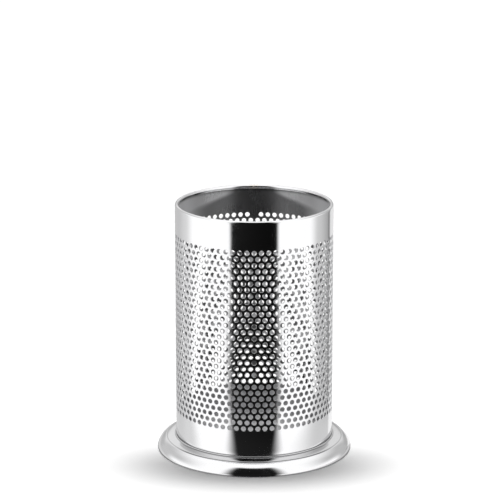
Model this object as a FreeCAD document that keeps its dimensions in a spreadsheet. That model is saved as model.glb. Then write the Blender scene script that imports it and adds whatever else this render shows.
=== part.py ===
import FreeCAD, Part

import math
import os

import Sketcher

# Open-topped utensil crock of stainless sheet, in millimetres, standing on z = 0 about the Z axis.
# A perforated sheet is rolled to a sleeve, a spun ring is its foot, and a pressed plate is its floor.
doc = FreeCAD.newDocument("crock")

# Driving sizes: name, value, meaning.
SIZES = (
    ("wall_radius", 50.0, "outside of the sleeve"),
    ("wall_sheet", 0.6, "thickness of the sleeve's sheet"),
    ("total_height", 161.0, "from the table to the top of the rim"),
    ("hem_radius", 1.3, "outside radius of the rim's turned-in hem"),
    ("hem_leg", 1.0, "straight end of the hem, inside the mouth"),
    ("hole_diameter", 3.1, "punched hole"),
    ("hole_pitch", 4.53, "centre to centre along a row, each row set over by half"),
    ("top_band", 19.9, "plain band from the top of the rim to the first row"),
    ("bottom_band", 16.5, "plain band from the collar's edge to below the last row"),
    ("seam_margin", 1.2, "least plain metal beside the seam at the back"),
    ("field_step", 2.0, "pitches covered by one modelled hole each way; 1 cuts every hole"),
    ("punch_overrun", 0.7, "how far a punch passes each face of the sheet"),
    ("sleeve_foot", 5.0, "height of the sleeve's lower edge"),
    ("foot_sheet", 0.6, "thickness of the foot's sheet"),
    ("collar_height", 0.3, "straight collar round the sleeve, above the hollow curve"),
    ("foot_fillet", 0.5, "hollow curve between the collar and the flange"),
    ("flange_reach", 12.0, "how far the foot stands out past the sleeve"),
    ("flange_slope", 5.0, "fall of the flange beside the collar, in degrees"),
    ("dome_radius", 10.0, "dome of the flange, from its fall to its side"),
    ("side_radius", 4.0, "tighter curve of the side"),
    ("side_turn", 20.0, "degrees of the side's curve, from its widest line up to the dome"),
    ("heel_bend", 0.15, "inside of the bend from the side's widest line under to the standing face"),
    ("edge_land", 4.0, "flat return under the edge, which the crock stands on"),
    ("floor_rise", 3.5, "height of the floor above the sleeve's lower edge"),
    ("floor_sheet", 0.6, "thickness of the floor plate"),
    ("floor_corner", 1.6, "outside bend from the floor to its skirt"),
)

# Sizes that follow from the ones above.
DERIVED = (
    ("wall_inside", "=wall_radius - wall_sheet"),
    ("hem_centre_x", "=wall_radius - hem_radius"),
    ("hem_centre_z", "=total_height - hem_radius"),
    ("mouth_radius", "=wall_radius - 2 * hem_radius"),
    ("hem_end", "=hem_centre_z - hem_leg"),
    ("collar_outside", "=wall_radius + foot_sheet"),
    ("flange_radius", "=wall_radius + flange_reach"),
    ("heel_radius", "=heel_bend + foot_sheet"),
    ("heel_x", "=flange_radius - heel_radius"),
    ("side_x", "=flange_radius - side_radius"),
    ("side_inside", "=side_radius - foot_sheet"),
    ("side_in_x", "=side_x + side_inside * cos(side_turn)"),
    ("side_in_z", "=heel_radius + side_inside * sin(side_turn)"),
    ("side_end_x", "=side_x + side_radius * cos(side_turn)"),
    ("side_end_z", "=heel_radius + side_radius * sin(side_turn)"),
    ("dome_x", "=side_end_x - dome_radius * cos(side_turn)"),
    ("dome_z", "=side_end_z - dome_radius * sin(side_turn)"),
    ("dome_inside", "=dome_radius - foot_sheet"),
    ("slope_in_x", "=dome_x + dome_inside * sin(flange_slope)"),
    ("slope_in_z", "=dome_z + dome_inside * cos(flange_slope)"),
    ("slope_x", "=dome_x + dome_radius * sin(flange_slope)"),
    ("slope_z", "=dome_z + dome_radius * cos(flange_slope)"),
    ("fillet_x", "=collar_outside + foot_fillet"),
    ("fillet_rise", "=(slope_x - fillet_x) * tan(flange_slope) + foot_fillet / cos(flange_slope)"),
    ("fillet_z", "=slope_z + fillet_rise"),
    ("fillet_back", "=foot_fillet + foot_sheet"),
    ("collar_top", "=fillet_z + collar_height"),
    ("land_end", "=heel_x - edge_land"),
    ("floor_top", "=sleeve_foot + floor_rise"),
    ("floor_under", "=floor_top - floor_sheet"),
    ("skirt_inside", "=wall_inside - floor_sheet"),
    ("bend_x", "=wall_inside - floor_corner"),
    ("bend_z", "=floor_top - floor_corner"),
    ("row_pitch", "=hole_pitch * sqrt(3) / 2"),
)

sheet = doc.addObject("Spreadsheet::Sheet", "dims")
row = 1
for name, value, meaning in SIZES:
    sheet.set("A%d" % row, name)
    sheet.set("B%d" % row, str(value))
    sheet.set("C%d" % row, meaning)
    sheet.setAlias("B%d" % row, name)
    row += 1
for name, formula in DERIVED:
    sheet.set("A%d" % row, name)
    sheet.set("B%d" % row, formula)
    sheet.setAlias("B%d" % row, name)
    row += 1
doc.recompute()


def size(name):
    """One value of the sheet as a plain number."""
    return float(sheet.get(name))


def bind(sketch, kind, element, point, expression):
    """Hold one point at a distance from the sketch's origin, by an expression on the sheet."""
    value = float(sketch.evalExpression(expression))
    if abs(value) < 1e-9:
        axis = -2 if kind == "DistanceX" else -1
        sketch.addConstraint(Sketcher.Constraint("PointOnObject", element, point, axis))
        return
    index = sketch.addConstraint(Sketcher.Constraint(kind, -1, 1, element, point, value))
    sketch.setExpression("Constraints[%d]" % index, expression)


def closed_profile(sketch, corners, steps):
    """Draw a closed outline in the sketch. A step is (from, to) for a line, or
    (from, to, centre, turn) for an arc, with a turn of 1 against the clock and -1 with it."""
    spots = {}
    for key, pair in corners.items():
        spots[key] = FreeCAD.Vector(*[float(sketch.evalExpression(e)) for e in pair], 0)
    ends = []
    for step in steps:
        first, last = spots[step[0]], spots[step[1]]
        if len(step) == 2:
            element = sketch.addGeometry(Part.LineSegment(first, last), False)
            ends.append((element, 1, 2))
            continue
        middle, turn = spots[step[2]], step[3]
        start, stop = (first, last) if turn > 0 else (last, first)
        circle = Part.Circle(middle, FreeCAD.Vector(0, 0, 1), (first - middle).Length)
        arc = Part.ArcOfCircle(circle, circle.parameter(start), circle.parameter(stop))
        element = sketch.addGeometry(arc, False)
        ends.append((element, 1, 2) if turn > 0 else (element, 2, 1))
    for this, following in zip(ends, ends[1:] + ends[:1]):
        sketch.addConstraint(
            Sketcher.Constraint("Coincident", this[0], this[2], following[0], following[1])
        )
    for step, (element, begin, _) in zip(steps, ends):
        bind(sketch, "DistanceX", element, begin, corners[step[0]][0])
        bind(sketch, "DistanceY", element, begin, corners[step[0]][1])
        if len(step) == 2:
            continue
        chord = spots[step[1]] - spots[step[0]]
        across = 1 if abs(chord.x) > abs(chord.y) else 0
        bind(sketch, ("DistanceX", "DistanceY")[across], element, 3, corners[step[2]][across])


def turned_body(label, corners, steps):
    """A body turned about Z from one closed outline of radius and height."""
    body = doc.addObject("PartDesign::Body", label)
    body.Label = label
    planes = [f for f in body.Origin.OriginFeatures if f.Role == "XZ_Plane"]
    sketch = body.newObject("Sketcher::SketchObject", label + "_outline")
    sketch.AttachmentSupport = (planes[0], [""])
    sketch.MapMode = "FlatFace"
    doc.recompute()
    closed_profile(sketch, corners, steps)
    doc.recompute()
    turn = body.newObject("PartDesign::Revolution", label + "_turn")
    turn.Profile = sketch
    turn.ReferenceAxis = (sketch, ["V_Axis"])
    turn.Angle = 360
    sketch.Visibility = False
    doc.recompute()
    return body


# Sleeve before punching: a straight wall whose top edge turns inwards and down in an open hem.
sleeve_blank = turned_body(
    "sleeve_blank",
    {
        "foot_in": ("dims.wall_inside", "dims.sleeve_foot"),
        "foot_out": ("dims.wall_radius", "dims.sleeve_foot"),
        "bend_out": ("dims.wall_radius", "dims.hem_centre_z"),
        "mouth": ("dims.mouth_radius", "dims.hem_centre_z"),
        "leg_in": ("dims.mouth_radius", "dims.hem_end"),
        "leg_out": ("dims.mouth_radius + dims.wall_sheet", "dims.hem_end"),
        "back": ("dims.mouth_radius + dims.wall_sheet", "dims.hem_centre_z"),
        "bend_in": ("dims.wall_inside", "dims.hem_centre_z"),
        "hem": ("dims.hem_centre_x", "dims.hem_centre_z"),
    },
    (
        ("foot_in", "foot_out"),
        ("foot_out", "bend_out"),
        ("bend_out", "mouth", "hem", 1),
        ("mouth", "leg_in"),
        ("leg_in", "leg_out"),
        ("leg_out", "back"),
        ("back", "bend_in", "hem", -1),
        ("bend_in", "foot_in"),
    ),
)

# Foot: a short collar round the sleeve, a hollow curve, a domed flange, and a rounded side turned under.
base_ring = turned_body(
    "base_ring",
    {
        "collar_in": ("dims.wall_radius", "dims.collar_top"),
        "curve_in": ("dims.wall_radius", "dims.fillet_z"),
        "slope_in": (
            "dims.fillet_x - dims.fillet_back * sin(dims.flange_slope)",
            "dims.fillet_z - dims.fillet_back * cos(dims.flange_slope)",
        ),
        "dome_in": ("dims.slope_in_x", "dims.slope_in_z"),
        "side_in": ("dims.side_in_x", "dims.side_in_z"),
        "widest_in": ("dims.flange_radius - dims.foot_sheet", "dims.heel_radius"),
        "land_in": ("dims.heel_x", "dims.foot_sheet"),
        "lip_in": ("dims.land_end", "dims.foot_sheet"),
        "lip_out": ("dims.land_end", "0"),
        "land_out": ("dims.heel_x", "0"),
        "widest_out": ("dims.flange_radius", "dims.heel_radius"),
        "side_out": ("dims.side_end_x", "dims.side_end_z"),
        "dome_out": ("dims.slope_x", "dims.slope_z"),
        "slope_out": (
            "dims.fillet_x - dims.foot_fillet * sin(dims.flange_slope)",
            "dims.fillet_z - dims.foot_fillet * cos(dims.flange_slope)",
        ),
        "curve_out": ("dims.collar_outside", "dims.fillet_z"),
        "collar_out": ("dims.collar_outside", "dims.collar_top"),
        "fillet": ("dims.fillet_x", "dims.fillet_z"),
        "dome": ("dims.dome_x", "dims.dome_z"),
        "side": ("dims.side_x", "dims.heel_radius"),
        "heel": ("dims.heel_x", "dims.heel_radius"),
    },
    (
        ("collar_in", "curve_in"),
        ("curve_in", "slope_in", "fillet", 1),
        ("slope_in", "dome_in"),
        ("dome_in", "side_in", "dome", -1),
        ("side_in", "widest_in", "side", -1),
        ("widest_in", "land_in", "heel", -1),
        ("land_in", "lip_in"),
        ("lip_in", "lip_out"),
        ("lip_out", "land_out"),
        ("land_out", "widest_out", "heel", 1),
        ("widest_out", "side_out", "side", 1),
        ("side_out", "dome_out", "dome", 1),
        ("dome_out", "slope_out"),
        ("slope_out", "curve_out", "fillet", -1),
        ("curve_out", "collar_out"),
        ("collar_out", "collar_in"),
    ),
)

# Floor: a pressed plate whose rim is turned down into a skirt, held inside the sleeve's lower end.
floor_plate = turned_body(
    "floor_plate",
    {
        "middle_low": ("0", "dims.floor_under"),
        "bend_low": ("dims.bend_x", "dims.floor_under"),
        "skirt_top": ("dims.skirt_inside", "dims.bend_z"),
        "skirt_in": ("dims.skirt_inside", "dims.sleeve_foot"),
        "skirt_out": ("dims.wall_inside", "dims.sleeve_foot"),
        "bend_side": ("dims.wall_inside", "dims.bend_z"),
        "bend_high": ("dims.bend_x", "dims.floor_top"),
        "middle_high": ("0", "dims.floor_top"),
        "bend": ("dims.bend_x", "dims.bend_z"),
    },
    (
        ("middle_low", "bend_low"),
        ("bend_low", "skirt_top", "bend", -1),
        ("skirt_top", "skirt_in"),
        ("skirt_in", "skirt_out"),
        ("skirt_out", "bend_side"),
        ("bend_side", "bend_high", "bend", 1),
        ("bend_high", "middle_high"),
        ("middle_high", "middle_low"),
    ),
)


def punch_field():
    """Punches for the staggered field of holes, as short cylinders that point outwards.
    A hole of the front row stands at the middle of the front, and the seam at the back stays plain."""
    step = max(1, int(round(size("field_step"))))
    radius = size("hole_diameter") / 2
    along = size("hole_pitch") * step
    down = size("row_pitch") * step
    wide = radius * step
    first = size("total_height") - size("top_band") + radius - wide
    last = size("collar_top") + size("bottom_band") - radius + wide
    rows = int((first - last) / down) + 1
    reach = (math.pi * size("wall_radius") - size("seam_margin") - wide) / along
    inner = size("wall_inside") - size("punch_overrun")
    length = size("wall_sheet") + 2 * size("punch_overrun")
    punches = []
    for number in range(rows):
        height = first - number * down
        shift = 0.5 * (number % 2)
        most = int(reach - shift) + shift
        for place in range(int(2 * most) + 1):
            angle = (place - most) * along / size("wall_radius") - math.pi / 2
            outward = FreeCAD.Vector(math.cos(angle), math.sin(angle), 0)
            start = outward * inner + FreeCAD.Vector(0, 0, height)
            punches.append(Part.makeCylinder(wide, length, start, outward))
    print("punched field:", rows, "rows,", len(punches), "holes")
    return Part.makeCompound(punches)


punches = doc.addObject("Part::Feature", "punches")
punches.Shape = punch_field()

# The sleeve as it is: the rolled wall with the field of holes cut through it.
perforated_sleeve = doc.addObject("Part::Cut", "perforated_sleeve")
perforated_sleeve.Label = "perforated_sleeve"
perforated_sleeve.Base = sleeve_blank
perforated_sleeve.Tool = punches
perforated_sleeve.Refine = False
doc.recompute()

os.makedirs("parts", exist_ok=True)
for node in (perforated_sleeve, base_ring, floor_plate):
    if "Invalid" in node.State or "Error" in node.State or not node.Shape.isValid():
        raise RuntimeError(node.Label + " did not build")
    if len(node.Shape.Solids) != 1:
        raise RuntimeError(node.Label + " is not one solid")
    node.Shape.exportStep("parts/" + node.Label + ".step")
    box = node.Shape.optimalBoundingBox()
    print(node.Label, "volume %.0f" % node.Shape.Volume, "z %.2f to %.2f" % (box.ZMin, box.ZMax))
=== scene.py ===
# %% [markdown]
# # A crock of punched stainless sheet
# The crock is three pieces of steel: a sleeve rolled from punched sheet, a spun foot and a pressed
# floor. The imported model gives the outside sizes, so the first step loads it and keeps its box. All that
# follows is drawn in metres in that same frame, with the front of the crock towards -Y.

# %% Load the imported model
import math

import bmesh
import bpy
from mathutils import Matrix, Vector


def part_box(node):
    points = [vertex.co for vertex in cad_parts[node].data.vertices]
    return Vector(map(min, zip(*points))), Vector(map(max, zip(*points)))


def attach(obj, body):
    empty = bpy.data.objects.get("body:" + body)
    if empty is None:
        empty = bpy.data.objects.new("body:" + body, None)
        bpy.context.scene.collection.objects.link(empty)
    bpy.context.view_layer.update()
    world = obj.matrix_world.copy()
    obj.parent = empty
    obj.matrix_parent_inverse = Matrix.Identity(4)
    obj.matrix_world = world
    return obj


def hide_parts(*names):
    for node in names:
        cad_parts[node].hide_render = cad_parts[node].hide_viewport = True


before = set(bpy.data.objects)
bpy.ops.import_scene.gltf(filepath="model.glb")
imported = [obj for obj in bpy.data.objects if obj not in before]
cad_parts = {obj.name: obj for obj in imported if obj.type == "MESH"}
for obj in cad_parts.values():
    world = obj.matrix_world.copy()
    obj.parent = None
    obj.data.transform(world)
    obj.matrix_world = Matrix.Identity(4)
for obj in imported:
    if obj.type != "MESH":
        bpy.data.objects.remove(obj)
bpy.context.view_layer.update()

sleeve_low, sleeve_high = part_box("perforated_sleeve")
foot_low, foot_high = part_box("base_ring")
floor_low, floor_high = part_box("floor_plate")
print("nodes:", sorted(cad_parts))

# %% [markdown]
# ## The sizes of the sheet
# A real sleeve starts as flat sheet: holes are punched in staggered rows, then the sheet is rolled and
# welded along one upright seam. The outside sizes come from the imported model, and the hole spacing is
# chosen so that a whole number of holes goes round. Working from one set of names keeps the punched
# field, the plain bands and the hem in step.

# %% Sizes of the sleeve
def radius_of(low, high):
    """The outer radius of a round piece, from the corners of its box."""
    return min(high.x, -low.x, high.y, -low.y)


WALL = radius_of(sleeve_low, sleeve_high)
RIM = sleeve_high.z
SLEEVE_FOOT = sleeve_low.z
SHEET = 0.0006
HEM_RADIUS = 0.0013
HEM_LEG = 0.001
COLUMNS = 70
ROWS = 30
PITCH = 2 * math.pi * WALL / COLUMNS
ROW_PITCH = 0.00391
HOLE_RADIUS = 0.00156
LIP = 0.00006
TOP_ROW_DEPTH = 0.0199
TOP_ROW = RIM - TOP_ROW_DEPTH
FIELD_TOP = TOP_ROW + ROW_PITCH / 2
FIELD_FOOT = TOP_ROW - (ROWS - 0.5) * ROW_PITCH
print("wall radius %.2f mm, hole pitch %.3f mm" % (WALL * 1000, PITCH * 1000))

# %% [markdown]
# ## Arithmetic with sockets
# Shader and geometry nodes both do sums, and a sum made of loose nodes is hard to read. This small
# class wraps an output socket, so that `1 - mask` or `angle * radius` adds the Math node by itself.
# One more function makes every other kind of node from its settings and its sockets.

# %% A socket that can be added and multiplied
class Wire:
    """An output socket with the usual arithmetic."""

    def __init__(self, tree, socket):
        self.tree = tree
        self.socket = socket

    def math(self, operation, *others):
        values = dict(enumerate((self,) + others))
        return make(self.tree, "ShaderNodeMath", {"operation": operation}, values)

    def flipped(self, operation, other):
        return make(self.tree, "ShaderNodeMath", {"operation": operation}, {0: other, 1: self})

    def __add__(self, other):
        return self.math("ADD", other)

    def __sub__(self, other):
        return self.math("SUBTRACT", other)

    def __mul__(self, other):
        return self.math("MULTIPLY", other)

    def __truediv__(self, other):
        return self.math("DIVIDE", other)

    def __rsub__(self, other):
        return self.flipped("SUBTRACT", other)

    def __rtruediv__(self, other):
        return self.flipped("DIVIDE", other)

    __radd__ = __add__
    __rmul__ = __mul__

    def __abs__(self):
        return self.math("ABSOLUTE")

    def other(self, name):
        return Wire(self.tree, self.socket.node.outputs[name])


def make(tree, kind, settings=None, sockets=None, out=0):
    """Add one node: its settings first, then a value or a link for each socket."""
    node = tree.nodes.new(kind)
    for key, value in (settings or {}).items():
        setattr(node, key, value)
    for key, value in (sockets or {}).items():
        if isinstance(value, Wire):
            tree.links.new(value.socket, node.inputs[key])
        else:
            node.inputs[key].default_value = value
    return Wire(tree, node.outputs[out])


def smooth_step(value, low, high):
    """0 below low, 1 above high, and an even curve between."""
    settings = {"interpolation_type": "SMOOTHSTEP"}
    sockets = {"Value": value, "From Min": low, "From Max": high}
    return make(value.tree, "ShaderNodeMapRange", settings, sockets)


def blend(factor, first, second):
    """Mix two colours by a factor."""
    sockets = {0: factor, 6: first, 7: second}
    return make(factor.tree, "ShaderNodeMix", {"data_type": "RGBA"}, sockets, 2)


print("socket arithmetic ready")

# %% [markdown]
# ## Steel, five ways
# All of the crock is the same stainless steel, but each surface was worked differently. The outside is
# buffed bright, the inside keeps the dull face of the mill, the rims of the holes are sheared by the
# punch, the foot is polished while it spins, and the floor is left satin. A finish here is a metallic
# shader whose roughness, colour and bump follow the marks that the work leaves; in a few places the
# colour also carries painted shade and painted light. Object coordinates tell it where each mark
# belongs: x, y and z, the reach from the axis, and the way around the wall.

# %% Materials and the coordinates that marks follow
def bare_material(name):
    """A new material with an empty node tree."""
    material = bpy.data.materials.new(name)
    material.use_nodes = True
    material.node_tree.nodes.clear()
    return material, material.node_tree


def object_place(tree):
    """Object coordinates: the vector and its three parts."""
    place = make(tree, "ShaderNodeTexCoord", out="Object")
    split = make(tree, "ShaderNodeSeparateXYZ", sockets={0: place})
    return place, split.other("X"), split.other("Y"), split.other("Z")


def show(tree, shader):
    """Link a shader to the surface of its material."""
    output = tree.nodes.new("ShaderNodeOutputMaterial")
    tree.links.new(shader.socket, output.inputs["Surface"])


def steel(name):
    """Start a steel finish: its material, its tree and the coordinates that its marks follow."""
    material, tree = bare_material(name)
    place, x, y, z = object_place(tree)
    reach = (x * x + y * y).math("SQRT")
    around = x.math("ARCTAN2", 0 - y) * WALL
    return material, tree, {"place": place, "x": x, "y": y, "z": z, "reach": reach, "around": around}


def finished(material, colour, roughness, marks, depth):
    """End a steel finish: a metal with a colour, a roughness and a bump from its marks."""
    tree = material.node_tree
    bump = make(tree, "ShaderNodeBump", sockets={"Strength": 1.0, "Distance": depth, "Height": marks})
    sockets = {"Metallic": 1.0, "Base Color": colour, "Roughness": roughness, "Normal": bump}
    show(tree, make(tree, "ShaderNodeBsdfPrincipled", sockets=sockets))
    print("finish:", material.name, len(tree.nodes), "nodes")
    return material


print("steel ready")

# %% [markdown]
# Worn and worked steel is never even. Noise gives soft patches, and noise that is stretched one way gives
# the fine lines of a wheel or a roller. Two masks, at the back and at the sides, say where on the round
# wall a mark is strong. Real steel gives back a little less light than it gets, so its grey has a limit.

# %% Noise, lines and masks
BRIGHTEST = 0.97


def noise(tree, vector, scale, detail):
    """Soft random values between 0 and 1."""
    sockets = {"Vector": vector, "Scale": scale, "Detail": detail}
    return make(tree, "ShaderNodeTexNoise", {"noise_dimensions": "3D"}, sockets)


def streaks(tree, along, across, third, stretch):
    """Fine lines: noise that is long one way and short the other."""
    sockets = {0: along * stretch[0], 1: across * stretch[1], 2: third}
    return noise(tree, make(tree, "ShaderNodeCombineXYZ", sockets=sockets), 1.0, 3.0)


def cool_grey(grey, blue):
    """A grey with a trace more blue."""
    return make(grey.tree, "ShaderNodeCombineColor", sockets={0: grey, 1: grey, 2: grey * blue})


def at_the_back(at):
    """0 on the front half, and 1 where the wall is well behind the axis."""
    return smooth_step(at["y"], 0.0, WALL * 0.5)


def at_the_sides(at):
    """0 at the front, and 1 at the sides and the back."""
    return smooth_step(abs(at["around"]), WALL * 0.80, WALL * 1.15)


print("steel gives back at most", BRIGHTEST)

# %% [markdown]
# The buffed outside is close to a mirror. Buffing wheels run round the sleeve and leave very fine lines
# round it, handling leaves soft dull patches, and the upright weld at the back is ground flush, which
# leaves a narrow rougher line with a faint straw tint beside it. The crevice just above the foot gets
# painted shade, a dark line that reaches higher at the sides than at the front.

# %% Buffed outside
STRAW = (0.80, 0.70, 0.52, 1.0)
# The grey of the painted shade in the crevice above the foot.
CREVICE_SHADE_GREY = (0.10, 0.10, 0.105, 1.0)


def buffed_outside():
    material, tree, at = steel("buffed outside")
    lines = streaks(tree, at["around"], at["z"], 0.0, (45.0, 5200.0))
    patches = noise(tree, at["place"], 38.0, 4.0)
    fine = noise(tree, at["place"], 420.0, 2.0)
    behind = at_the_back(at)
    weld = (1 - smooth_step(abs(at["x"]), 0.0006, 0.0013)) * behind
    tint = (1 - smooth_step(abs(at["x"]), 0.0010, 0.0048)) * behind
    # Painted shade: a dark line in the crevice just above the foot, reaching higher at the sides.
    above_foot = at["z"] - foot_high.z - at_the_sides(at) * 0.0008
    painted_crevice_shade = 1 - smooth_step(above_foot, 0.0001, 0.0007)
    grey = 0.90 + (patches - 0.5) * 0.05 + (lines - 0.5) * 0.03
    warm = blend(tint * 0.35, cool_grey(grey, 1.006), STRAW)
    colour = blend(painted_crevice_shade * 0.8, warm, CREVICE_SHADE_GREY)
    roughness = 0.055 + smooth_step(patches, 0.42, 0.78) * 0.07 + fine * 0.03
    roughness = roughness + weld * 0.22 + painted_crevice_shade * 0.2
    return finished(material, colour, roughness, lines + weld * (fine * 3.0), 0.0000012)


BUFFED = buffed_outside()

# %% [markdown]
# A punch cuts the first third of the sheet cleanly and tears the rest. Each hole therefore has a bright
# ring on the outside and a dull grey ring behind it, which the distance from the axis tells apart.

# %% Sheared rims of the holes
CLEAN_CUT = (0.86, 0.86, 0.87, 1.0)
TORN_CUT = (0.52, 0.52, 0.53, 1.0)


def sheared_rims():
    material, tree, at = steel("sheared rims")
    grain = noise(tree, at["place"], 5200.0, 2.0)
    share = (WALL - at["reach"]) / SHEET + (grain - 0.5) * 0.35
    torn = smooth_step(share, 0.34, 0.52)
    colour = blend(torn, CLEAN_CUT, TORN_CUT)
    roughness = 0.14 + torn * 0.28 + grain * 0.08
    return finished(material, colour, roughness, grain * (0.3 + torn), 0.000012)


SHEARED = sheared_rims()

# %% [markdown]
# The inside is never buffed. It keeps the slightly grey face that rolled sheet has from the mill, with
# faint upright lines, since the sheet was rolled that way before it was bent round. Between the holes,
# wash water dries in small spots. Along the weld at the back, the punched field is rougher and painted
# lighter, a painted light. In the plain band above the holes, a patch at the back that widens downwards
# is painted darker, a painted dark reflection, and the sides of that band are rougher and painted
# lighter, also painted light. Under the hem the steel is painted dark, a painted shade. The four named
# heights are metres above the table.

# %% Mill face inside
PUNCHED_TO, PLAIN_FROM = 0.128, 0.142
PATCH_WIDE, PATCH_NARROW = 0.147, 0.157


def mill_face():
    material, tree, at = steel("mill face")
    lines = streaks(tree, at["z"], at["around"], 3.0, (60.0, 3600.0))
    patches = noise(tree, at["place"], 55.0, 4.0)
    aside = abs(at["x"])
    behind = at_the_back(at)
    # Painted shade: the wall under the hem is darkened.
    painted_hem_shade = smooth_step(at["z"], RIM - 0.0050, RIM - 0.0026)
    plain = smooth_step(at["z"], PUNCHED_TO, PLAIN_FROM)
    punched = 1 - plain
    spots = smooth_step(noise(tree, at["place"], 150.0, 1.0), 0.40, 0.60) - 0.5
    spots = spots * punched * smooth_step(at["z"], FIELD_FOOT, FIELD_FOOT + 0.004)
    # Painted light: a lighter strip at the back of the punched field, with real extra roughness.
    brushed_and_painted_light = (1 - smooth_step(aside, 0.013, 0.021)) * behind * punched
    # Painted dark reflection: a darker patch at the back of the plain band, widening downwards.
    spread = 0.014 + (1 - smooth_step(at["z"], PATCH_WIDE, PATCH_NARROW)) * 0.022
    painted_dark_reflection = (1 - smooth_step(aside / spread, 0.80, 1.28)) * behind * plain
    # Painted light: the sides of the plain band are lighter, with real extra roughness.
    rubbed_and_painted_light = smooth_step(aside, 0.032, 0.044) * plain
    grey = 0.58 - punched * 0.12 + rubbed_and_painted_light * 0.25 + spots * 0.60 + brushed_and_painted_light * (0.36 + spots * 0.50)
    grey = grey + (patches - 0.5) * 0.10 + (lines - 0.5) * 0.06
    grey = grey.math("MINIMUM", BRIGHTEST) * (1 - painted_hem_shade * 0.6) * (1 - painted_dark_reflection * 0.66)
    roughness = 0.20 + brushed_and_painted_light * 0.40 + rubbed_and_painted_light * 0.30 + patches * 0.10 + lines * 0.06
    return finished(material, cool_grey(grey, 1.01), roughness, lines, 0.000003)


MILL = mill_face()

# %% [markdown]
# ## The sizes of the foot
# The foot is one spun ring. A short collar grips the sleeve, a tight hollow curve leads out to a domed
# flange, and a tighter curve brings the side round and under to the flat land that it stands on. A fine
# line is turned into the dome halfway out, where the flatter top ends. The sizes come before the finish,
# because the finish paints shade into that line, so it has to know where the line runs. Angles are in
# degrees: `FALL` is the slope at which the hollow meets the dome, the two turns are measured up from
# level on the dome, and the half widths of the line are angles on the dome as well.

# %% Sizes of the foot
FLANGE = radius_of(foot_low, foot_high)
FOOT_SHEET = 0.0006
HOLLOW = 0.0005
FALL = 5.0
DOME = 0.010
SIDE = 0.004
SIDE_TURN = 20.0
HEEL = 0.00075
LAND = 0.004
LINE_TURN = 67.0
LINE_HALF_MOUTH = 2.2
LINE_HALF_BED = 0.5
LINE_DEPTH = 0.00018
HEEL_CENTRE = (FLANGE - HEEL, HEEL)
SIDE_CENTRE = (FLANGE - SIDE, HEEL)
DOME_CENTRE = (
    SIDE_CENTRE[0] - (DOME - SIDE) * math.cos(math.radians(SIDE_TURN)),
    SIDE_CENTRE[1] - (DOME - SIDE) * math.sin(math.radians(SIDE_TURN)),
)
TURNED_LINE = WALL + 0.00627
print("flange radius %.2f mm, turned line at %.2f mm" % (FLANGE * 1000, TURNED_LINE * 1000))

# %% [markdown]
# The foot is spun on a lathe and polished there, so its marks are rings about the axis. They are read
# from the distance to the axis and the height alone. The edge that meets the table gets scuffed first.
# Painted shade darkens the hollow curve and the fine line turned round the flange, most of all at the
# front, and inside that line the front of the dome is painted greyer, a painted dark reflection.

# %% Spun foot
# The grey of the painted shade in the hollow curve and the turned line.
HOLLOW_SHADE_GREY = (0.12, 0.12, 0.125, 1.0)


def spun_polish():
    material, tree, at = steel("spun polish")
    rings = streaks(tree, at["around"], at["reach"] + at["z"] * 0.7, 5.0, (12.0, 4200.0))
    patches = noise(tree, at["place"], 60.0, 4.0)
    scuffs = smooth_step(noise(tree, at["place"], 900.0, 3.0), 0.52, 0.70)
    low = 1 - smooth_step(at["z"], 0.0003, 0.0011)
    front = 1 - at_the_sides(at)
    # Painted shade in the hollow curve above the dome, strongest at the front.
    painted_hollow_shade = (1 - smooth_step(at["reach"], WALL + 0.0008, WALL + 0.0014)) * (0.4 + front * 0.6)
    painted_hollow_shade = painted_hollow_shade * (1 - smooth_step(at["z"], foot_high.z - 0.0005, foot_high.z - 0.0002))
    past_line = at["reach"] - TURNED_LINE
    line = 1 - smooth_step(abs(past_line), 0.0003, 0.00055)
    upper = smooth_step(at["z"], 0.0070, 0.0072)
    # Painted shade in the turned line, strongest at the front.
    painted_hollow_and_line_shade = painted_hollow_shade.math("MAXIMUM", line * upper * (0.12 + front * 0.88))
    # Painted dark reflection: inside the turned line the dome is greyer at the front.
    inner = (1 - smooth_step(past_line, -0.0003, 0.0001)) * upper * front
    grey = 0.90 + (patches - 0.5) * 0.05 + (rings - 0.5) * 0.04 - low * scuffs * 0.18 - inner * 0.22
    colour = blend(painted_hollow_and_line_shade * 0.8, cool_grey(grey, 1.006), HOLLOW_SHADE_GREY)
    roughness = 0.06 + smooth_step(patches, 0.45, 0.8) * 0.06 + rings * 0.04
    roughness = roughness + low * (0.08 + scuffs * 0.25)
    return finished(material, colour, roughness, rings + low * scuffs, 0.0000015)


SPUN = spun_polish()

# %% [markdown]
# The floor is a satin pressing. What is dropped on it leaves short scratches in every direction, so three
# sets of stretched noise, each turned to another angle, are cut down to thin lines. Water that runs down
# to it dries in darker spots.

# %% Satin floor
SCRATCH_TURNS = (0.3, 1.4, 2.5)
SCRATCH_STRETCH = (60, 1500, 1)


def scratch_set(tree, place, turn):
    """Thin straight scratches that run one way."""
    sockets = {"Vector": place, "Rotation": (0, 0, turn), "Scale": SCRATCH_STRETCH}
    turned = make(tree, "ShaderNodeMapping", sockets=sockets)
    return smooth_step(noise(tree, turned, 1.0, 1.0), 0.70, 0.76)


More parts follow.
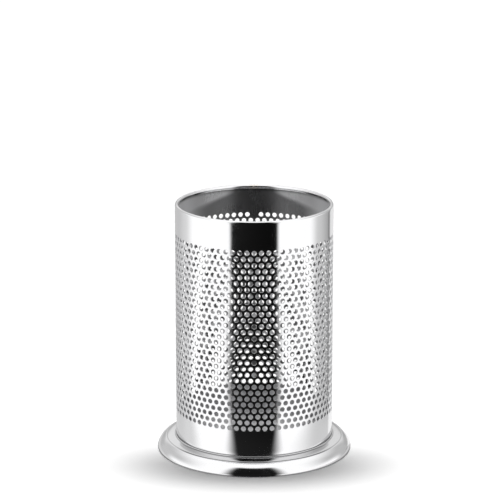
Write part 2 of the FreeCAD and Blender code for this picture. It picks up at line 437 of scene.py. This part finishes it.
def satin_floor():
    material, tree, at = steel("satin floor")
    rings = streaks(tree, at["around"] * 0.2, at["reach"], 9.0, (20.0, 2600.0))
    first, second, third = (scratch_set(tree, at["place"], turn) for turn in SCRATCH_TURNS)
    scratches = first.math("MAXIMUM", second).math("MAXIMUM", third)
    patches = noise(tree, at["place"], 70.0, 4.0)
    upper = smooth_step(at["z"], floor_high.z - 0.0005, floor_high.z - 0.0002)
    spots = smooth_step(noise(tree, at["place"], 150.0, 1.0), 0.42, 0.70) * upper
    grey = 0.97 - spots * 0.12 + (patches - 0.5) * 0.08 + (rings - 0.5) * 0.08 + scratches * 0.06
    grey = grey.math("MINIMUM", BRIGHTEST)
    roughness = 0.62 + patches * 0.10 + rings * 0.06 - scratches * 0.08
    return finished(material, cool_grey(grey, 1.01), roughness, rings - scratches * 2.0, 0.000003)


SATIN = satin_floor()

# %% [markdown]
# ## One cell of the sheet
# The punched field is one small cell used over and over: an oblong of sheet with a round hole. Polishing
# after punching leaves a bright sloping lip round the hole on the outside, so the cell has one too. A grid
# of cells could be cut by booleans, but two thousand of those are slow and leave poor faces. A cell whose
# edge points lie half a pitch apart meets its neighbours point to point, even in a row that is set over
# by half. A plain cell with the same edge closes the strip along the seam.

# %% Triangles round a hole
def ring_between(outer, inner):
    """Triangles between two rings of points that both run against the clock from angle zero."""
    full = 2 * math.pi

    def angle_of(point):
        return math.atan2(point[2], point[0]) % full or full

    faces, i, j = [], 0, 0
    while i < len(outer) or j < len(inner):
        here, there = outer[i % len(outer)], inner[j % len(inner)]
        after_here, after_there = outer[(i + 1) % len(outer)], inner[(j + 1) % len(inner)]
        outer_first = angle_of(after_here) <= angle_of(after_there)
        if j >= len(inner) or (i < len(outer) and outer_first):
            faces.append((here, after_here, there))
            i += 1
        else:
            faces.append((here, after_there, there))
            j += 1
    return faces


print("triangles ready")

# %% [markdown]
# Each face of a cell carries a number for its finish: the outside with its lip, the sheared wall of the
# hole, or the inside. A point is made once and shared by the faces that meet in it.

# %% Cells with and without a hole
HALF_X, HALF_Z = PITCH / 2, ROW_PITCH / 2
EDGE = [(1, 0), (1, 1), (0, 1), (-1, 1), (-1, 0), (-1, -1), (0, -1), (1, -1)]
HOLE_SIDES = 12
OUTSIDE, RIMS, INSIDE = 0, 1, 2


def sheet_cell(name, holed):
    """A flat cell: x along the row, z up, y from the outside (0) to the inside of the sheet."""
    bm = bmesh.new()
    finish = bm.faces.layers.int.new("finish")
    made = {}

    def add_face(points, kind):
        for p in points:
            if p not in made:
                made[p] = bm.verts.new(p)
        bm.faces.new([made[p] for p in points])[finish] = kind

    def circle(radius, depth):
        angles = [2 * math.pi * k / HOLE_SIDES for k in range(HOLE_SIDES)]
        return [(radius * math.cos(a), depth, radius * math.sin(a)) for a in angles]

    lip = circle(HOLE_RADIUS + LIP, 0.0)
    edge = circle(HOLE_RADIUS, LIP)
    back = circle(HOLE_RADIUS, SHEET)
    for depth, hole, kind in ((0.0, lip, OUTSIDE), (SHEET, back, INSIDE)):
        border = [(a * HALF_X, depth, b * HALF_Z) for a, b in EDGE]
        faces = ring_between(border, hole) if holed else [tuple(border)]
        for points in faces:
            add_face(points if kind == OUTSIDE else points[::-1], kind)
    walls = ((lip, edge, OUTSIDE), (edge, back, RIMS)) if holed else ()
    for front, behind, kind in walls:
        for k in range(HOLE_SIDES):
            n = (k + 1) % HOLE_SIDES
            add_face((front[n], front[k], behind[k], behind[n]), kind)
    mesh = bpy.data.meshes.new(name)
    bm.to_mesh(mesh)
    bm.free()
    mesh.materials.append(BUFFED)
    print(name, len(mesh.polygons), "faces")
    return bpy.data.objects.new(name, mesh)


punched_cell = sheet_cell("punched cell", True)
plain_cell = sheet_cell("plain cell", False)

# %% [markdown]
# ## Punch the sheet and roll it
# Geometry Nodes do what the workshop does, in the same order. Points are set out in staggered rows, a
# cell is placed on each, and the flat sheet is then rolled: distance along the row becomes an angle, and
# depth becomes distance from the axis. A cell that the seam would cut through is a plain one, so every
# second row leaves one hole out there. The tree takes every size, cell and finish by name.

# %% Inputs of the tree
INPUTS = {
    "Columns": ("Int", COLUMNS),
    "Rows": ("Int", ROWS),
    "Pitch": ("Float", PITCH),
    "Row Pitch": ("Float", ROW_PITCH),
    "Top Row": ("Float", TOP_ROW),
    "Wall Radius": ("Float", WALL),
    "Punched Cell": ("Object", punched_cell),
    "Plain Cell": ("Object", plain_cell),
    "Outside": ("Material", BUFFED),
    "Hole Rims": ("Material", SHEARED),
    "Inside": ("Material", MILL),
}


def rolling_tree():
    """An empty tree with its named inputs, and a wire from each of them."""
    tree = bpy.data.node_groups.new("roll the punched sheet", "GeometryNodeTree")
    tree.interface.new_socket("Geometry", in_out="INPUT", socket_type="NodeSocketGeometry")
    for name, (kind, _) in INPUTS.items():
        tree.interface.new_socket(name, in_out="INPUT", socket_type="NodeSocket" + kind)
    tree.interface.new_socket("Geometry", in_out="OUTPUT", socket_type="NodeSocketGeometry")
    entry = make(tree, "NodeGroupInput")
    return tree, {name: entry.other(name) for name in INPUTS}


print("inputs:", list(INPUTS))

# %% [markdown]
# The first half of the tree lays out the flat sheet. A point's number gives its column and its row, odd
# rows move over by half a pitch, and neighbouring cells are welded where their edge points meet.

# %% The flat sheet
WELD = 0.000002


def flat_sheet(tree, given):
    """Cells on staggered points, made real and welded."""
    index = make(tree, "GeometryNodeInputIndex")
    column = (index / given["Rows"]).math("FLOOR")
    row = index - column * given["Rows"]
    odd = row - 2 * (row * 0.5).math("FLOOR")
    place = column - (given["Columns"] * 0.5 - 1) + odd * 0.5
    height = given["Top Row"] - row * given["Row Pitch"]
    spot = make(tree, "ShaderNodeCombineXYZ", sockets={"X": place * given["Pitch"], "Z": height})
    sockets = {"Count": given["Columns"] * given["Rows"], "Position": spot}
    points = make(tree, "GeometryNodePoints", sockets=sockets)
    seam = abs(place - given["Columns"] * 0.5).math("LESS_THAN", 0.25)
    joined = make(tree, "GeometryNodeJoinGeometry")
    for name, chosen in (("Punched Cell", 1 - seam), ("Plain Cell", seam)):
        cell = make(tree, "GeometryNodeObjectInfo", sockets={"Object": given[name]}, out="Geometry")
        sockets = {"Points": points, "Selection": chosen, "Instance": cell}
        placed = make(tree, "GeometryNodeInstanceOnPoints", sockets=sockets)
        tree.links.new(placed.socket, joined.socket.node.inputs[0])
    real = make(tree, "GeometryNodeRealizeInstances", sockets={"Geometry": joined})
    return make(tree, "GeometryNodeMergeByDistance", sockets={"Geometry": real, "Distance": WELD})


print("cells are welded within %.3f mm" % (WELD * 1000))

# %% [markdown]
# The second half rolls the sheet and gives each face its finish. Every face of a cell carries a number,
# so the outside, the rims of the holes and the inside can be told apart after the sheet is round.

# %% Roll the punched field
def rolled_wall(tree, given, sheet):
    """The flat sheet bent round the axis, with its three finishes."""
    flat = make(tree, "ShaderNodeSeparateXYZ", sockets={0: make(tree, "GeometryNodeInputPosition")})
    angle = flat.other("X") / given["Wall Radius"]
    reach = given["Wall Radius"] - flat.other("Y")
    x, y = reach * angle.math("SINE"), 0 - reach * angle.math("COSINE")
    rolled = make(tree, "ShaderNodeCombineXYZ", sockets={"X": x, "Y": y, "Z": flat.other("Z")})
    wall = make(tree, "GeometryNodeSetPosition", sockets={"Geometry": sheet, "Position": rolled})
    whole = {"data_type": "INT"}
    kind = make(tree, "GeometryNodeInputNamedAttribute", whole, {"Name": "finish"}, "Attribute")
    for name, number in (("Outside", OUTSIDE), ("Hole Rims", RIMS), ("Inside", INSIDE)):
        chosen = abs(kind - number).math("LESS_THAN", 0.5)
        sockets = {"Geometry": wall, "Selection": chosen, "Material": given[name]}
        wall = make(tree, "GeometryNodeSetMaterial", sockets=sockets)
    return wall


def rolled_field():
    """Run the tree once and keep its result as a plain mesh."""
    tree, given = rolling_tree()
    wall = rolled_wall(tree, given, flat_sheet(tree, given))
    tree.links.new(wall.socket, tree.nodes.new("NodeGroupOutput").inputs[0])
    holder = bpy.data.objects.new("punched field", bpy.data.meshes.new("punched field"))
    bpy.context.scene.collection.objects.link(holder)
    modifier = holder.modifiers.new("roll", "NODES")
    modifier.node_group = tree
    for item in tree.interface.items_tree:
        if item.in_out == "INPUT" and item.name in INPUTS:
            modifier[item.identifier] = INPUTS[item.name][1]
    seen = holder.evaluated_get(bpy.context.evaluated_depsgraph_get())
    mesh = bpy.data.meshes.new_from_object(seen)
    for used in (holder, punched_cell, plain_cell):
        bpy.data.objects.remove(used)
    print("punched field:", len(mesh.polygons), "faces,", [m.name for m in mesh.materials])
    return mesh


field = rolled_field()

# %% [markdown]
# ## Turned outlines
# The hem, the foot and the floor are round, so each is an outline of radius and height turned about the
# axis. The outline is written once as points and arcs, every stretch names its finish, and the mesh is
# closed by its own rings. This is the lathe's way of working, and it keeps the facets even.

# %% A small lathe
AXIS = 1e-9


def bow(centre, radius, start, stop, steps):
    """Points on an arc, with angles in degrees."""
    angles = [math.radians(start + (stop - start) * k / steps) for k in range(steps + 1)]
    return [(centre[0] + radius * math.cos(a), centre[1] + radius * math.sin(a)) for a in angles]


def turn(bm, outline, finishes, segments, closed):
    """Turn an outline about Z into bm. finishes gives a material number for each stretch."""
    angles = [2 * math.pi * k / segments for k in range(segments)]
    rings = []
    for radius, height in outline:
        if radius < AXIS:
            rings.append([bm.verts.new((0, 0, height))] * segments)
            continue
        rings.append([bm.verts.new((radius * math.sin(a), -radius * math.cos(a), height)) for a in angles])
    for i in range(len(outline) if closed else len(outline) - 1):
        this, following = rings[i], rings[(i + 1) % len(rings)]
        for k in range(segments):
            n = (k + 1) % segments
            corners = [this[k], this[n], following[n], following[k]]
            corners = [v for v, last in zip(corners, corners[-1:] + corners[:-1]) if v is not last]
            bm.faces.new(corners).material_index = finishes[i]


print("lathe ready")

# %% [markdown]
# A turned mesh is then made one piece: points that meet are welded, faces are pointed outwards, and the
# shading is smooth except over sharp bends. An edge without two faces would be a gap, so such edges are
# counted.

# %% From a mesh to a piece
def mesh_from(bm, name):
    """Turn an editable mesh into a stored one."""
    mesh = bpy.data.meshes.new(name)
    bm.to_mesh(mesh)
    bm.free()
    return mesh


def closed_piece(bm, name, materials, sharp):
    """Make one object of a closed mesh: welded, faced outwards, smooth except over sharp edges."""
    bmesh.ops.remove_doubles(bm, verts=bm.verts, dist=WELD)
    bmesh.ops.recalc_face_normals(bm, faces=bm.faces)
    for face in bm.faces:
        face.smooth = True
    for edge in bm.edges:
        edge.smooth = len(edge.link_faces) == 2 and edge.calc_face_angle() < sharp
    open_edges = sum(1 for e in bm.edges if len(e.link_faces) != 2)
    mesh = mesh_from(bm, name)
    for material in materials:
        mesh.materials.append(material)
    piece = bpy.data.objects.new(name, mesh)
    bpy.context.scene.collection.objects.link(piece)
    triangles = sum(len(p.vertices) - 2 for p in mesh.polygons)
    print(name, triangles, "triangles,", open_edges, "open edges")
    return piece


print("pieces are welded within %.3f mm" % (WELD * 1000))

# %% [markdown]
# ## The sleeve
# The punched field is only part of the sleeve. Above it a plain band runs to the rim, where the sheet
# turns inwards and down in an open hem, and below it another runs into the foot. Both are turned with
# the same spacing as the cells' edge points, so welding the points makes one closed sheet.

# %% Bands and hem
BAND_RING = 0.004
HEM_RING = 0.001


def sleeve_piece():
    bm = bmesh.new()
    bm.from_mesh(field)
    order = [m.name for m in field.materials]
    outside, rims, inside = (order.index(m.name) for m in (BUFFED, SHEARED, MILL))
    back = WALL - SHEET
    bend = (WALL - HEM_RADIUS, RIM - HEM_RADIUS)
    mouth, leg = WALL - 2 * HEM_RADIUS, bend[1] - HEM_LEG
    shown = [(WALL, FIELD_TOP), (WALL, FIELD_TOP + BAND_RING), (WALL, bend[1] - HEM_RING)]
    shown += bow(bend, HEM_RADIUS, 0, 180, 14) + [(mouth, leg)]
    tucked = [(mouth + SHEET, leg)] + bow(bend, HEM_RADIUS - SHEET, 180, 0, 8)
    tucked += [(back, FIELD_TOP + BAND_RING), (back, FIELD_TOP)]
    kinds = [outside] * (len(shown) - 1) + [rims] + [inside] * (len(tucked) - 1)
    turn(bm, shown + tucked, kinds, 2 * COLUMNS, False)
    bottom = [(back, FIELD_FOOT), (back, FIELD_FOOT - BAND_RING), (back, SLEEVE_FOOT)]
    bottom += [(WALL, SLEEVE_FOOT), (WALL, FIELD_FOOT - BAND_RING), (WALL, FIELD_FOOT)]
    turn(bm, bottom, [inside, inside, rims, outside, outside], 2 * COLUMNS, False)
    return closed_piece(bm, "sleeve", list(field.materials), 0.6)


sleeve = sleeve_piece()

# %% [markdown]
# ## The foot
# The foot's outline goes down the outside from the collar to the land, and back up the inside. The same
# sheet thickness runs all the way, so every inner arc has the outer one's centre, and a radius that is
# smaller or larger by the thickness.

# %% Spin the foot
FOOT_SEGMENTS = 256


def foot_piece():
    bm = bmesh.new()
    fall, half = math.radians(FALL), FOOT_SHEET / 2
    start = (DOME_CENTRE[0] + DOME * math.sin(fall), DOME_CENTRE[1] + DOME * math.cos(fall))
    hollow_x = WALL + FOOT_SHEET + HOLLOW
    hollow = (hollow_x, start[1] + (start[0] - hollow_x) * math.tan(fall) + HOLLOW / math.cos(fall))
    bed = DOME - LINE_DEPTH
    outline = bow((WALL + half, foot_high.z - half), half, 180, 0, 8)[:-1]
    outline += bow(hollow, HOLLOW, 180, 270 - FALL, 8)
    outline += bow(DOME_CENTRE, DOME, 90 - FALL, LINE_TURN + LINE_HALF_MOUTH, 8)
    outline += bow(DOME_CENTRE, bed, LINE_TURN + LINE_HALF_BED, LINE_TURN - LINE_HALF_BED, 1)
    outline += bow(DOME_CENTRE, DOME, LINE_TURN - LINE_HALF_MOUTH, SIDE_TURN, 18)
    outline += bow(SIDE_CENTRE, SIDE, SIDE_TURN, 0, 8)[1:]
    outline += bow(HEEL_CENTRE, HEEL, 0, -90, 8)[1:]
    outline += [(HEEL_CENTRE[0] - LAND, 0.0), (HEEL_CENTRE[0] - LAND, FOOT_SHEET)]
    outline += bow(HEEL_CENTRE, HEEL - FOOT_SHEET, -90, 0, 6)
    outline += bow(SIDE_CENTRE, SIDE - FOOT_SHEET, 0, SIDE_TURN, 5)[1:]
    outline += bow(DOME_CENTRE, DOME - FOOT_SHEET, SIDE_TURN, 90 - FALL, 12)[1:]
    outline += bow(hollow, HOLLOW + FOOT_SHEET, 270 - FALL, 180, 6)
    turn(bm, outline, [0] * len(outline), FOOT_SEGMENTS, True)
    return closed_piece(bm, "foot", [SPUN], 0.7)


foot = foot_piece()

# %% [markdown]
# ## The floor
# The floor is a shallow pressing set upside down: a flat plate whose rim bends down into a skirt. The
# skirt gives the weld to the sleeve some length. A turned outline that begins and ends on the axis
# closes itself at both poles.

# %% Press the floor
FLOOR_SHEET = 0.0006
FLOOR_BEND = 0.0016
FLOOR_SEGMENTS = 160


def floor_piece():
    bm = bmesh.new()
    outer = WALL - SHEET
    top, low = floor_high.z, floor_low.z
    centre = (outer - FLOOR_BEND, top - FLOOR_BEND)
    outline = [(outer * share, top) for share in (0.0, 0.25, 0.5, 0.75)]
    outline += bow(centre, FLOOR_BEND, 90, 0, 8)
    outline += [(outer, low), (outer - FLOOR_SHEET, low)]
    outline += bow(centre, FLOOR_BEND - FLOOR_SHEET, 0, 90, 6)
    outline += [(outer * share, top - FLOOR_SHEET) for share in (0.5, 0.0)]
    turn(bm, outline, [0] * len(outline), FLOOR_SEGMENTS, False)
    return closed_piece(bm, "floor", [SATIN], 0.6)


floor = floor_piece()

# %% [markdown]
# ## The pieces take the place of the imported parts
# Each drawn piece takes the place of the imported solid of the same part, which is hidden. Nothing on
# this crock moves by itself, so all three belong to the one body.

# %% Fasten the pieces
for piece, node, slot in (
    (sleeve, "perforated_sleeve", "sleeve_steel"),
    (foot, "base_ring", "foot_steel"),
    (floor, "floor_plate", "floor_steel"),
):
    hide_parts(node)
    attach(piece, "root")
    print(piece.name, "stands for", node)

# %% [markdown]
# ## A white table in a white room
# Polished steel has hardly a colour of its own: it shows what stands round it. The table and the room
# are white. The room is white to the camera and in mirrors, and dimmer as a light, so that a lamp can
# draw a shadow on the table.

# %% White table and white room
WHITE = (1, 1, 1, 1)
TABLE_HALF = 9.0
AMBIENT = 0.12
RAYS = ("camera", "diffuse", "glossy", "transmission", "shadow")


def stage_object(name, mesh, material, seen_by):
    """A stage object that only the named kinds of ray can see."""
    mesh.materials.append(material)
    piece = bpy.data.objects.new(name, mesh)
    bpy.context.scene.collection.objects.link(piece)
    for kind in RAYS:
        setattr(piece, "visible_" + kind, kind in seen_by)
    return piece


def oblong(name, wide, deep, height):
    """A level oblong about the axis, from half its width and half its depth."""
    mesh = bpy.data.meshes.new(name)
    corners = [(wide * a, deep * b, height) for a, b in ((-1, -1), (1, -1), (1, 1), (-1, 1))]
    mesh.from_pydata(corners, [], [(0, 1, 2, 3)])
    return mesh


def white_table():
    material, tree = bare_material("white table")
    sockets = {"Base Color": WHITE, "Roughness": 1.0, "Specular IOR Level": 0.0}
    show(tree, make(tree, "ShaderNodeBsdfPrincipled", sockets=sockets))
    return stage_object("table", oblong("table", TABLE_HALF, TABLE_HALF, 0), material, RAYS)


def white_room():
    world = bpy.data.worlds.new("white room")
    bpy.context.scene.world = world
    world.use_nodes = True
    tree = world.node_tree
    path = make(tree, "ShaderNodeLightPath", out="Is Camera Ray")
    seen = path.math("MAXIMUM", path.other("Is Glossy Ray"))
    seen = seen.math("MAXIMUM", path.other("Is Transmission Ray"))
    strength = AMBIENT + seen * (1.0 - AMBIENT)
    tree.nodes["Background"].inputs["Color"].default_value = WHITE
    tree.links.new(strength.socket, tree.nodes["Background"].inputs["Strength"])


print("table:", white_table().name)
white_room()
bpy.context.scene.view_settings.view_transform = "Standard"
print("room:", bpy.context.scene.world.name)

# %% [markdown]
# The crock's shadow on the table is soft, and wider than it is deep. A lamp straight above leaves hardly
# any shadow beside the foot, so a flag hangs under it, as in a studio: a cloth that is thick in the
# middle and thins out evenly. Only shadow rays see the flag.

# %% Soft lamp
LAMP = 0.95
LAMP_ANGLE = 3
FLAG_WIDE, FLAG_DEEP, FLAG_HEIGHT = 0.13, 0.12, 0.24
FLAG_FORWARD = 0.037
FLAG_SQUASH = 1.7
FLAG_THICK, FLAG_THIN = 0.020, 0.111
FLAG_CLOTH = (0.02, 0.02, 0.02, 1)


def soft_lamp():
    data = bpy.data.lights.new("lamp", "SUN")
    data.energy = LAMP * math.pi
    data.angle = math.radians(LAMP_ANGLE)
    lamp = bpy.data.objects.new("lamp", data)
    lamp.visible_glossy = False
    bpy.context.scene.collection.objects.link(lamp)
    return lamp


def lamp_flag():
    material, tree = bare_material("flag")
    _, x, y, _ = object_place(tree)
    y = (y + FLAG_FORWARD) * FLAG_SQUASH
    thick = 1 - smooth_step((x * x + y * y).math("SQRT"), FLAG_THICK, FLAG_THIN)
    clear = make(tree, "ShaderNodeBsdfTransparent")
    cloth = make(tree, "ShaderNodeBsdfDiffuse", sockets={"Color": FLAG_CLOTH})
    show(tree, make(tree, "ShaderNodeMixShader", sockets={0: thick, 1: clear, 2: cloth}))
    return stage_object("flag", oblong("flag", FLAG_WIDE, FLAG_DEEP, FLAG_HEIGHT), material, ("shadow",))


print(soft_lamp().name, "above", lamp_flag().name)

# %% [markdown]
# ## A paper tent
# The steel also sees a tent of paper that the camera doesn't: a sheet on the table and a dome over it,
# white with a dark gap at the front, where a camera would look in, and greyer towards the back. The gap
# gives the wall its dark middle, and the grey paper shades its two edges. Both papers are drawn with
# sums on Object coordinates.

# %% Paper for the steel to see
PAPER = 1.12
DEGREES = 180 / math.pi


def paper(name):
    """A paper: its material, its tree, the bearing from the front in radians, the reach and the height."""
    material, tree = bare_material(name)
    _, x, y, z = object_place(tree)
    reach = (x * x + y * y).math("SQRT")
    return material, tree, x.math("ARCTAN2", 0 - y), reach, z


def glow(tree, level):
    """Let the paper shine at a level."""
    sockets = {"Color": cool_grey(level, 1.004), "Strength": 1.0}
    show(tree, make(tree, "ShaderNodeEmission", sockets=sockets))


def paper_object(name, bm, material):
    """A paper that only mirrors see."""
    return stage_object(name, mesh_from(bm, name), material, ("glossy",))


print("paper shines at", PAPER)

# %% [markdown]
# On the table, a place is turned into the direction in which the round wall throws a level look that ends
# there. An edge drawn along one such direction shows in the wall as a straight upright line. Towards the
# foot the edges of the gap soften, and close to it the gap narrows. The two sides are shaded unlike, as
# in the photograph. All the angles are in degrees.

# %% Paper on the table
PAPER_INNER = FLANGE - 0.0001
PAPER_OUTER = 7.0
PAPER_HEIGHT = 0.0003
PAPER_SEGMENTS = 72


def level_ring():
    """A level ring on the table, from just under the foot outwards."""
    bm = bmesh.new()
    angles = [2 * math.pi * k / PAPER_SEGMENTS for k in range(PAPER_SEGMENTS)]
    inner, outer = (
        [bm.verts.new((reach * math.cos(a), reach * math.sin(a), PAPER_HEIGHT)) for a in angles]
        for reach in (PAPER_INNER, PAPER_OUTER)
    )
    for k in range(PAPER_SEGMENTS):
        n = (k + 1) % PAPER_SEGMENTS
        bm.faces.new([inner[k], outer[k], outer[n], inner[n]])
    return bm


def table_paper():
    material, tree, bearing, reach, _ = paper("table paper")
    ratio = WALL / reach
    guess = bearing / (2 - ratio)
    mirrored = (bearing + (ratio * guess.math("SINE")).math("ARCSINE")) * DEGREES
    near = 1 - smooth_step(reach, 0.08, 0.16)
    far = 1 - near
    close = 1 - smooth_step(reach, 0.066, 0.086)
    middle = smooth_step(reach, 0.12, 0.22) * (1 - smooth_step(reach, 0.34, 0.47))
    inner = 31.5 - near * 8 - close * 4.5 - middle
    outer = 37.5 + near * 9 - close * 16.5 + middle * 7
    gap = 1 - smooth_step(abs(mirrored), inner, outer)
    # Painted shadow: the paper is darker just round the foot, where the table lies in the foot's shadow.
    under = (1 - smooth_step(reach, FLANGE, FLANGE + 0.003)) * 0.7
    leftward = 0 - mirrored
    left = smooth_step(leftward, 98 - near * 18, 118 - near * 10) * 0.34
    left = left + smooth_step(leftward, 114, 142) * (0.07 + far * 0.07)
    right = smooth_step(mirrored, 87 - near * 42, 108) * 0.42
    right = right + (smooth_step(mirrored, 104, 140) * 0.22 + smooth_step(mirrored, 132, 141) * 0.15) * far
    shade = left + right * (1 - smooth_step(mirrored, 141, 146) * 0.65)
    dark = 0.006 - mirrored * 0.0001 + near * 0.006
    glow(tree, (1 - shade) * (1 - gap) * (1 - under) * PAPER + gap * dark)
    return paper_object("table paper", level_ring(), material)


print("on the table:", table_paper().name)

# %% [markdown]
# The dome is drawn by two angles in degrees: how far aside of the front a place lies, and how high it
# rises. The gap takes up its front, about two thirds of the way to the top. The sides are grey up to a
# soft edge, with a brighter strip low down, and the paper straight behind is greyer near the table.
# These show in the foot and in the hem.

# %% Dome of paper
DOME_REACH = 6.5
BELOW_TABLE = -0.01


def half_ball():
    """The upper half of a ball about the origin."""
    bm = bmesh.new()
    bmesh.ops.create_uvsphere(bm, u_segments=48, v_segments=24, radius=DOME_REACH)
    lower = [v for v in bm.verts if v.co.z < BELOW_TABLE]
    bmesh.ops.delete(bm, geom=lower, context="VERTS")
    return bm


def dome_paper():
    material, tree, bearing, reach, z = paper("dome paper")
    rightward = bearing * DEGREES
    aside = abs(rightward)
    rise = z.math("ARCTAN2", reach) * DEGREES
    gap = (1 - smooth_step(aside, 24, 42)) * (1 - smooth_step(rise, 57, 69))
    grey = 0.47 - smooth_step(aside, 146, 160) * 0.19 + smooth_step(rightward, 60, 120) * 0.06
    bright = (1 - smooth_step(rise, 6, 24)) * (1 - smooth_step(aside, 104, 128))
    side = smooth_step(aside, 58, 112) * (1 - smooth_step(rise, 25, 60)) * (1 - bright) * grey
    back = smooth_step(aside, 140, 165) * (1 - smooth_step(rise, 9, 18)) * 0.30
    glow(tree, (1 - side - back) * (1 - gap) * PAPER + gap * 0.008)
    return paper_object("dome paper", half_ball(), material)


print("over it:", dome_paper().name)

# %% [markdown]
# ## The camera
# A camera fit to the rim, the rows of holes and the foot gave its distance, height and tilt, in units of
# the sleeve's radius. The crock stands a little right of the picture's middle, which a small shift does.

# %% Camera
PICTURE = 500
FOCAL_PIXELS = 2660.0
SHIFT_PIXELS = 4.2
SENSOR = 36.0
FIT_RADIUS = 0.05
CAMERA_BACK = 32.54 * FIT_RADIUS
CAMERA_HEIGHT = 11.17 * FIT_RADIUS
CAMERA_TILT = 0.25745

data = bpy.data.cameras.new("camera")
data.sensor_width = SENSOR
data.lens = FOCAL_PIXELS * SENSOR / PICTURE
data.shift_x = -SHIFT_PIXELS / PICTURE
data.clip_end = 50.0
camera = bpy.data.objects.new("camera", data)
camera.location = (0.0, -CAMERA_BACK, CAMERA_HEIGHT)
camera.rotation_euler = (math.pi / 2 - CAMERA_TILT, 0.0, 0.0)
bpy.context.scene.collection.objects.link(camera)
bpy.context.scene.camera = camera
print("lens %.1f mm" % data.lens)
